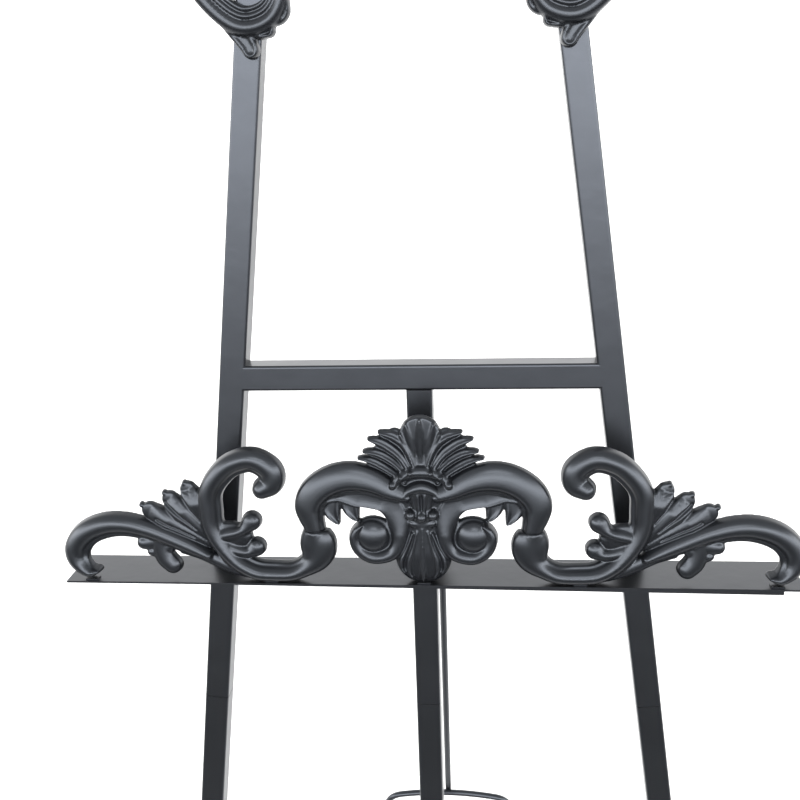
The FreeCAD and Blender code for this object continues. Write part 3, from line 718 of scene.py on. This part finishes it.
def stage_material():
    """White paper, dark in front of the easel, but to reflections only."""
    material, nodes, links, shader = new_material("floor_paper")
    place = nodes.new("ShaderNodeTexCoord")
    parts = nodes.new("ShaderNodeSeparateXYZ")
    links.new(place.outputs["Object"], parts.inputs["Vector"])
    far = blend_range(nodes, links, parts.outputs["Y"], *FAR_EDGE, PAPER_FAR, PAPER_FRONT)
    near = blend_range(nodes, links, parts.outputs["Y"], *NEAR_EDGE, far, PAPER)
    rays = nodes.new("ShaderNodeLightPath")
    mirrored = blend_range(nodes, links, rays.outputs["Is Glossy Ray"], 0.0, 1.0, PAPER, near)
    links.new(mirrored, shader.inputs["Base Color"])
    shader.inputs["Roughness"].default_value = 0.9
    shader.inputs["Specular IOR Level"].default_value = 0.1
    return material


def add_stage():
    half = FLOOR_HALF
    corners = [(-half, -half, 0), (half, -half, 0), (half, half, 0), (-half, half, 0)]
    mesh = bpy.data.meshes.new("floor")
    mesh.from_pydata(corners, [], [(0, 1, 2, 3)])
    mesh.materials.append(stage_material())
    floor = bpy.data.objects.new("floor", mesh)
    bpy.context.scene.collection.objects.link(floor)


def area_light(name, place, aim, size, radiance):
    width, height = size
    data = bpy.data.lights.new(name, "AREA")
    data.shape = "RECTANGLE"
    data.size = width
    data.size_y = height
    data.energy = radiance * math.pi * width * height
    light = bpy.data.objects.new(name, data)
    bpy.context.scene.collection.objects.link(light)
    light.location = place
    light.rotation_euler = (Vector(aim) - Vector(place)).to_track_quat("-Z", "Y").to_euler()


def add_light():
    """White cove behind; in front, dim at floor level and brighter with height, with a softbox above."""
    world = bpy.data.worlds.new("studio")
    bpy.context.scene.world = world
    world.use_nodes = True
    nodes, links = world.node_tree.nodes, world.node_tree.links
    background = nodes["Background"]
    place = nodes.new("ShaderNodeTexCoord")
    parts = nodes.new("ShaderNodeSeparateXYZ")
    links.new(place.outputs["Generated"], parts.inputs["Vector"])
    up = parts.outputs["Z"]
    ahead = blend_range(nodes, links, up, *FRONT_RISE, FRONT_LOW, FRONT_PEAK)
    around = blend_range(nodes, links, parts.outputs["Y"], *SIDES, ahead, COVE)
    both = blend_range(nodes, links, up, *OVERHEAD_FALL, around, OVERHEAD)
    links.new(both, background.inputs["Strength"])
    background.inputs["Color"].default_value = (1, 1, 1, 1)
    area_light("softbox", SOFTBOX_AT, SOFTBOX_AIM, SOFTBOX_SIZE, SOFTBOX)
    bpy.context.scene.view_settings.view_transform = "Standard"


add_camera()
add_stage()
add_light()

tube_paint = satin_paint("satin_black_tube", dark=(0.0028, 0.0029, 0.0032), light=(0.004, 0.0042, 0.0046),
                         roughness=(0.26, 0.34), peel=0.20, sheen=0.5, tint=(0.80, 0.87, 1.0))
cast_paint = satin_paint("satin_black_casting", dark=(0.003, 0.0033, 0.004), light=(0.0048, 0.0052, 0.006),
                         roughness=(0.27, 0.35), peel=0.25, sheen=0.4, tint=(0.82, 0.89, 1.0))
FINISHES = {
    "painted_tube": tube_paint,
    "painted_casting": cast_paint,
    "black_fastener": plain_finish("black_oxide", (0.05, 0.05, 0.055), 1.0, (0.3, 0.45), 700.0),
    "bare_spigot": plain_finish("mill_steel", (0.3, 0.3, 0.31), 1.0, (0.35, 0.5), 300.0),
    "plastic_plug": plain_finish("matt_plastic", (0.02, 0.02, 0.022), 0.0, (0.5, 0.6), 800.0),
    "rubber_foot": plain_finish("black_rubber", (0.018, 0.018, 0.02), 0.0, (0.65, 0.8), 500.0),
}
for entry in frame["record"]["subparts"]:
    dress(entry["node"], FINISHES[entry["material_slot"]])

tray_side = tray_side_relief()
crown_side = crown_side_relief()
on_tray = (TRAY_RIGHT, TRAY_TOP, CAST_BACK)
on_crown = (0.0, 0.0, 0.0)
casting("tray_scroll_right", "tray_casting_right", tray_side, on_tray, cast_paint)
casting("tray_scroll_left", "tray_casting_left", tray_side, on_tray, cast_paint, mirror=True)
casting("tray_palmette", "tray_casting_centre", tray_centre_relief(), on_tray, cast_paint)
casting("crown_scroll_right", "crown_casting_right", crown_side, on_crown, cast_paint)
casting("crown_scroll_left", "crown_casting_left", crown_side, on_crown, cast_paint, mirror=True)
casting("crown_palmette_relief", "crown_palmette", crown_centre_relief(), on_crown, cast_paint)
